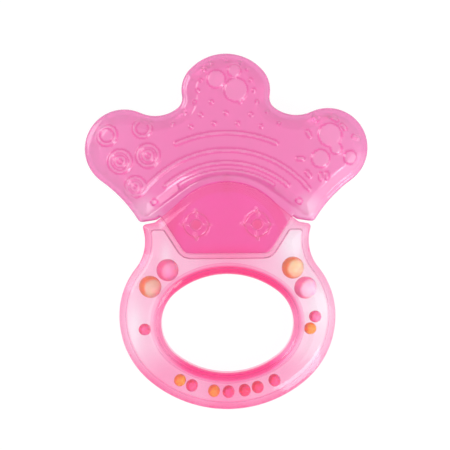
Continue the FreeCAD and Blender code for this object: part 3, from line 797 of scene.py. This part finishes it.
# Lit colour, painted shade colour and where the shaded crescent starts. The longest name that
# fits counts.
BEAD_COLOURS = {
    "large_bead_cream": (linear(248, 236, 172), linear(242, 150, 60), 0.40),
    "large_bead_cream_1": (linear(228, 236, 188), linear(234, 156, 76), 0.40),
    "large_bead_pink": (linear(252, 190, 218), linear(244, 120, 178), 0.40),
    "large_bead_pink_2": (linear(250, 226, 236), linear(244, 130, 184), 0.40),
    "small_bead_orange": (linear(255, 230, 40), linear(255, 188, 30), 0.45),
    "small_bead_orange_3": (linear(255, 180, 14), linear(250, 132, 14), 0.45),
    "small_bead_pink": (linear(252, 122, 178), linear(232, 60, 136), 0.42),
    "small_bead_red": (linear(252, 100, 150), linear(232, 50, 110), 0.42),
}
bead_materials = {
    kind: bead_material(kind + "_gloss", *colours) for kind, colours in BEAD_COLOURS.items()
}
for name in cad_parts:
    kinds = [kind for kind in bead_materials if name.startswith(kind)]
    if kinds:
        dress(name, bead_materials[max(kinds, key=len)])

# ---- Floor, world, lamps and camera ----
low, high = CAD_BOUNDS
middle = (low + high) / 2


def seen_directly(nodes):
    """1 for rays that show the background: camera, glossy and transmission rays."""
    path = nodes.add("ShaderNodeLightPath")
    seen = maths(nodes, "MAXIMUM", path.outputs["Is Camera Ray"], path.outputs["Is Glossy Ray"])
    return maths(nodes, "MAXIMUM", seen, path.outputs["Is Transmission Ray"])


def white_floor():
    bm = bmesh.new()
    bmesh.ops.create_grid(bm, x_segments=1, y_segments=1, size=FLOOR_HALF_SIZE)
    mesh = bpy.data.meshes.new("floor")
    bm.to_mesh(mesh)
    bm.free()
    floor = bpy.data.objects.new("floor", mesh)
    floor.location = (middle.x, middle.y, -FLOOR_DROP)
    bpy.context.scene.collection.objects.link(floor)
    material = bpy.data.materials.new("floor_white")
    nodes = Nodes(material)
    plain = nodes.add("ShaderNodeBsdfDiffuse")
    nodes.put(plain, "Color", FLOOR_WHITE)
    shaded = nodes.add("ShaderNodeBsdfDiffuse")
    nodes.put(shaded, "Color", FLOOR_SHADE)
    glow = nodes.add("ShaderNodeEmission")
    nodes.put(glow, "Strength", FLOOR_GLOW)
    both = nodes.add("ShaderNodeAddShader")
    nodes.link(shaded.outputs["BSDF"], both.inputs[0])
    nodes.link(glow.outputs["Emission"], both.inputs[1])
    mix = nodes.add("ShaderNodeMixShader")
    nodes.link(seen_directly(nodes), mix.inputs["Fac"])
    nodes.link(plain.outputs["BSDF"], mix.inputs[1])
    nodes.link(both.outputs["Shader"], mix.inputs[2])
    output = nodes.add("ShaderNodeOutputMaterial")
    nodes.link(mix.outputs["Shader"], output.inputs["Surface"])
    mesh.materials.append(material)


def white_world():
    world = bpy.data.worlds.new("studio")
    bpy.context.scene.world = world
    nodes = Nodes(world)
    light = nodes.add("ShaderNodeBackground")
    nodes.put(light, "Strength", WORLD_STRENGTH)
    nodes.put(light, "Color", (1.0, 1.0, 1.0, 1.0))
    shown = nodes.add("ShaderNodeBackground")
    nodes.put(shown, "Strength", 1.0)
    nodes.put(shown, "Color", (1.0, 1.0, 1.0, 1.0))
    mix = nodes.add("ShaderNodeMixShader")
    nodes.link(seen_directly(nodes), mix.inputs["Fac"])
    nodes.link(light.outputs["Background"], mix.inputs[1])
    nodes.link(shown.outputs["Background"], mix.inputs[2])
    output = nodes.add("ShaderNodeOutputWorld")
    nodes.link(mix.outputs["Shader"], output.inputs["Surface"])


def lamp(name, place, width, length, power):
    data = bpy.data.lights.new(name, "AREA")
    data.shape = "RECTANGLE"
    data.size = width
    data.size_y = length
    data.energy = power
    item = bpy.data.objects.new(name, data)
    item.location = Vector(place) + middle
    item.rotation_mode = "QUATERNION"
    item.rotation_quaternion = Vector(place).to_track_quat("Z", "Y")
    bpy.context.scene.collection.objects.link(item)


def camera():
    data = bpy.data.cameras.new("camera")
    data.sensor_width = SENSOR
    data.lens = SENSOR * CAMERA_DISTANCE / CAMERA_FIELD
    data.clip_start = 0.01
    item = bpy.data.objects.new("camera", data)
    x, y = CAMERA_SHIFT
    item.location = (middle.x + x, middle.y + y, middle.z + CAMERA_DISTANCE)
    item.rotation_euler = (0, 0, math.radians(CAMERA_ROLL))
    bpy.context.scene.collection.objects.link(item)
    bpy.context.scene.camera = item


white_floor()
white_world()
for values in LAMPS:
    lamp(*values)
camera()
bpy.context.scene.view_settings.view_transform = "Standard"
